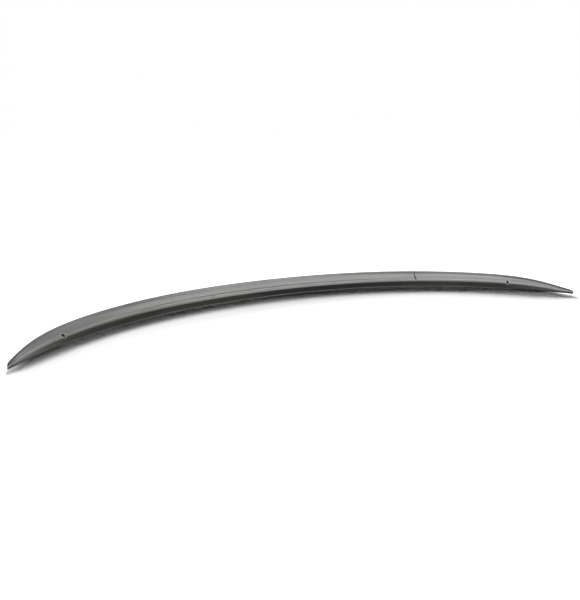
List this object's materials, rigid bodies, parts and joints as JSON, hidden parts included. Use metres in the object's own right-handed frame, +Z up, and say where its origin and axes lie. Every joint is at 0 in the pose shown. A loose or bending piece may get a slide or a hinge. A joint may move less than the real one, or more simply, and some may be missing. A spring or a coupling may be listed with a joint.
{
  "type": "car rear spoiler",
  "caption": "Slim crescent boot-lid lip spoiler in dark moulded plastic, with a ramped top, thin edge rims and a screw hole near each pointed tip.",
  "frame": {"origin": "on the car's centre line in the flat bonding face, midway between its front and rear edges", "axes": "+X across the car, +Y rearwards, +Z up out of the boot lid"},
  "size_m": [1.2056, 0.3101, 0.0296],
  "materials": {
    "lip_plastic": "satin, as moulded, unpainted"
  },
  "bodies": {
    "root": {"spoiler_lip": "lip_plastic"}
  },
  "joints": []
}
